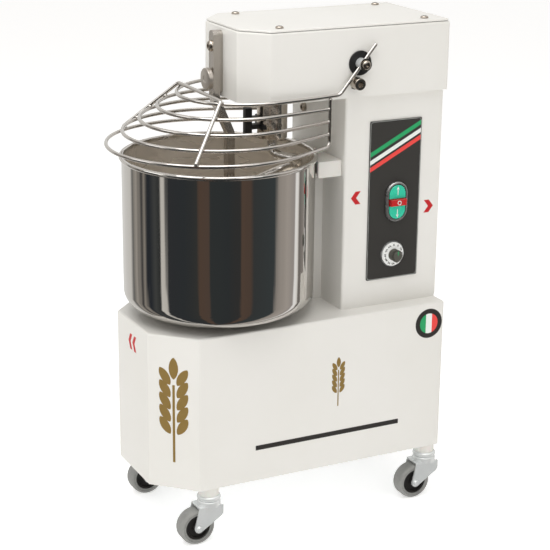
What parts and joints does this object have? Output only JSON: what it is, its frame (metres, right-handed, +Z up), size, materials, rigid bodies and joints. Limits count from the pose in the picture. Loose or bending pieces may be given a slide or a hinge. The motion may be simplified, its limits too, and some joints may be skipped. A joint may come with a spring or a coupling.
{
  "type": "spiral dough mixer",
  "caption": "Free-standing spiral dough mixer: driven steel bowl, spiral tool and breaker bar under a fixed head, with a lifting wire guard and a caster base.",
  "frame": {"origin": "on the floor, under the middle of the whole machine's bounding box", "axes": "+Z up; -Y is the front, where the bowl and guard are; +X is the side with the control panel"},
  "size_m": [0.286, 0.4785, 0.694],
  "materials": {
    "white_paint": "gloss powder coat",
    "zinc_steel": "bright zinc plate",
    "white_plastic": "machined nylon",
    "black_plastic": "moulded",
    "black_rubber": "matte",
    "label": "printed film",
    "green_plastic": "moulded",
    "red_plastic": "moulded",
    "silver_label": "printed dial",
    "cast_housing": "cast, painted grey",
    "ground_steel": "ground",
    "stainless": "polished",
    "grey_tyre": "grey rubber on a plastic hub"
  },
  "bodies": {
    "frame": {"base_housing": "white_paint", "base_plate": "zinc_steel", "caster_sockets": "white_plastic", "caster_stems": "zinc_steel", "cable_gland": "black_plastic", "column_housing": "white_paint", "column_rear_cover": "white_paint", "cover_screws": "zinc_steel", "column_spine": "white_paint", "bowl_guide_block": "white_plastic", "head_casing": "white_paint", "head_cover": "white_paint", "head_cover_gasket": "black_rubber", "control_panel": "label", "switch_bezel": "black_plastic", "timer_scale": "silver_label", "timer_body": "black_plastic", "gear_motor": "cast_housing", "motor_mount": "zinc_steel", "drive_belt": "black_rubber", "shaft_bearings": "cast_housing", "drive_chains": "ground_steel", "bowl_seal": "black_rubber", "spiral_sleeve": "stainless", "deflector_bracket": "black_plastic", "breaker_bar": "stainless", "breaker_backplate": "stainless", "button_head_screws": "zinc_steel", "guard_bushes": "black_plastic", "guard_stop_bolts": "zinc_steel", "guard_switch": "black_plastic"},
    "bowl": {"bowl": "stainless", "bowl_shaft": "ground_steel", "bowl_sprocket": "cast_housing"},
    "spiral": {"spiral_tool": "stainless", "spiral_shaft": "ground_steel", "spiral_sprocket": "cast_housing"},
    "countershaft": {"countershaft": "ground_steel", "countershaft_wheels": "cast_housing"},
    "motor_rotor": {"motor_pulley": "cast_housing"},
    "start_button": {"start_button": "green_plastic"},
    "run_back_button": {"run_back_button": "black_plastic"},
    "stop_button": {"stop_button": "red_plastic"},
    "timer_knob": {"timer_knob": "black_plastic"},
    "clamp_knob": {"clamp_knob": "stainless"},
    "guard": {"guard_top_frame": "stainless", "guard_middle_rings": "stainless", "guard_low_ring": "stainless", "guard_spoke": "stainless", "guard_pivot_bosses": "stainless", "guard_clamp_screws": "zinc_steel"},
    "caster_fork_fl": {"caster_fork_fl": "zinc_steel"},
    "caster_wheel_fl": {"caster_wheel_fl": "grey_tyre"},
    "caster_fork_fr": {"caster_fork_fr": "zinc_steel"},
    "caster_wheel_fr": {"caster_wheel_fr": "grey_tyre"},
    "caster_fork_rl": {"caster_fork_rl": "zinc_steel"},
    "caster_wheel_rl": {"caster_wheel_rl": "grey_tyre"},
    "caster_fork_rr": {"caster_fork_rr": "zinc_steel"},
    "caster_wheel_rr": {"caster_wheel_rr": "grey_tyre"}
  },
  "joints": [
    {"name": "bowl_spin", "type": "hinge", "parent": "frame", "child": "bowl", "pos_m": [0, -0.08635, 0.3], "axis": [0, 0, 1], "continuous": true},
    {"name": "countershaft_spin", "type": "hinge", "parent": "frame", "child": "countershaft", "pos_m": [0, 0.08825, 0.3], "axis": [0, 0, 1], "continuous": true},
    {"name": "spiral_spin", "type": "hinge", "parent": "frame", "child": "spiral", "pos_m": [0, -0.00675, 0.3], "axis": [0, 0, 1], "continuous": true},
    {"name": "motor_spin", "type": "hinge", "parent": "frame", "child": "motor_rotor", "pos_m": [0, 0.16025, 0.3], "axis": [0, 0, 1], "continuous": true},
    {"name": "guard_hinge", "type": "hinge", "parent": "frame", "child": "guard", "pos_m": [0, 0.07915, 0.641], "axis": [-1, 0, 0], "range_deg": [0, 75]},
    {"name": "timer_turn", "type": "hinge", "parent": "frame", "child": "timer_knob", "pos_m": [0.08, 0.14065, 0.37], "axis": [-1, 0, 0], "range_deg": [0, 300]},
    {"name": "clamp_knob_turn", "type": "hinge", "parent": "frame", "child": "clamp_knob", "pos_m": [0, -0.10475, 0.6193], "axis": [0, -1, 0], "range_deg": [0, 360]},
    {"name": "start_button_press", "type": "slide", "parent": "frame", "child": "start_button", "axis": [-1, 0, 0], "range_m": [0, 0.003], "stiffness_N_per_m": 600},
    {"name": "run_back_button_press", "type": "slide", "parent": "frame", "child": "run_back_button", "axis": [-1, 0, 0], "range_m": [0, 0.003], "stiffness_N_per_m": 600},
    {"name": "stop_button_press", "type": "slide", "parent": "frame", "child": "stop_button", "axis": [-1, 0, 0], "range_m": [0, 0.003], "stiffness_N_per_m": 600},
    {"name": "swivel_fl", "type": "hinge", "parent": "frame", "child": "caster_fork_fl", "pos_m": [-0.0894, -0.14275, 0.06], "axis": [0, 0, 1], "continuous": true},
    {"name": "wheel_fl", "type": "hinge", "parent": "caster_fork_fl", "child": "caster_wheel_fl", "pos_m": [-0.0894, -0.16305, 0.025], "axis": [1, 0, 0], "continuous": true},
    {"name": "swivel_fr", "type": "hinge", "parent": "frame", "child": "caster_fork_fr", "pos_m": [0.0894, -0.14275, 0.06], "axis": [0, 0, 1], "continuous": true},
    {"name": "wheel_fr", "type": "hinge", "parent": "caster_fork_fr", "child": "caster_wheel_fr", "pos_m": [0.0894, -0.16305, 0.025], "axis": [1, 0, 0], "continuous": true},
    {"name": "swivel_rl", "type": "hinge", "parent": "frame", "child": "caster_fork_rl", "pos_m": [-0.0894, 0.19975, 0.06], "axis": [0, 0, 1], "continuous": true},
    {"name": "wheel_rl", "type": "hinge", "parent": "caster_fork_rl", "child": "caster_wheel_rl", "pos_m": [-0.0894, 0.17945, 0.025], "axis": [1, 0, 0], "continuous": true},
    {"name": "swivel_rr", "type": "hinge", "parent": "frame", "child": "caster_fork_rr", "pos_m": [0.0894, 0.19975, 0.06], "axis": [0, 0, 1], "continuous": true},
    {"name": "wheel_rr", "type": "hinge", "parent": "caster_fork_rr", "child": "caster_wheel_rr", "pos_m": [0.0894, 0.17945, 0.025], "axis": [1, 0, 0], "continuous": true}
  ],
  "couplings": [
    {"joint": "countershaft_spin", "follows": "bowl_spin", "ratio": 5},
    {"joint": "spiral_spin", "follows": "bowl_spin", "ratio": 8},
    {"joint": "motor_spin", "follows": "bowl_spin", "ratio": 12.5}
  ]
}
